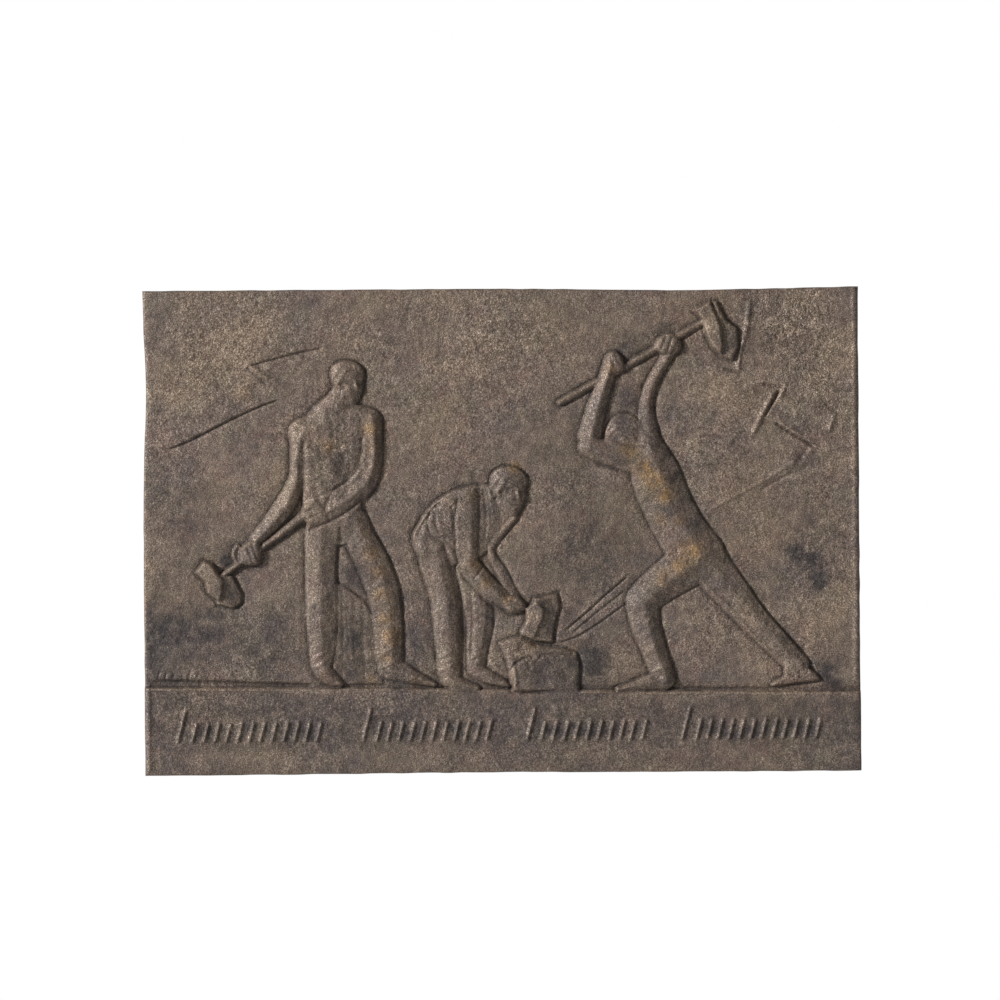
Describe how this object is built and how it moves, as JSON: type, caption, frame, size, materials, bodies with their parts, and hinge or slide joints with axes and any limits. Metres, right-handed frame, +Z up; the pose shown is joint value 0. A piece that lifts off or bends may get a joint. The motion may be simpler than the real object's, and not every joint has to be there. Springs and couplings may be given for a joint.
{
  "type": "relief plaque",
  "caption": "Rectangular cast bronze wall plaque in low relief: smiths with sledge hammers at work over a plain ledge.",
  "frame": {"origin": "centre of the flat back face, the middle of the panel's width and height", "axes": "+X to the viewer's right along the long side, +Z up, -Y out of the relief towards the viewer; the back face lies in y = 0"},
  "size_m": [0.24, 0.0081, 0.1624],
  "materials": {
    "bronze": "sand-cast bronze with an uneven brown patina, ochre rubbed areas and dark grey-violet soot in the hollows"
  },
  "bodies": {
    "root": {"plaque": "bronze"}
  },
  "joints": []
}
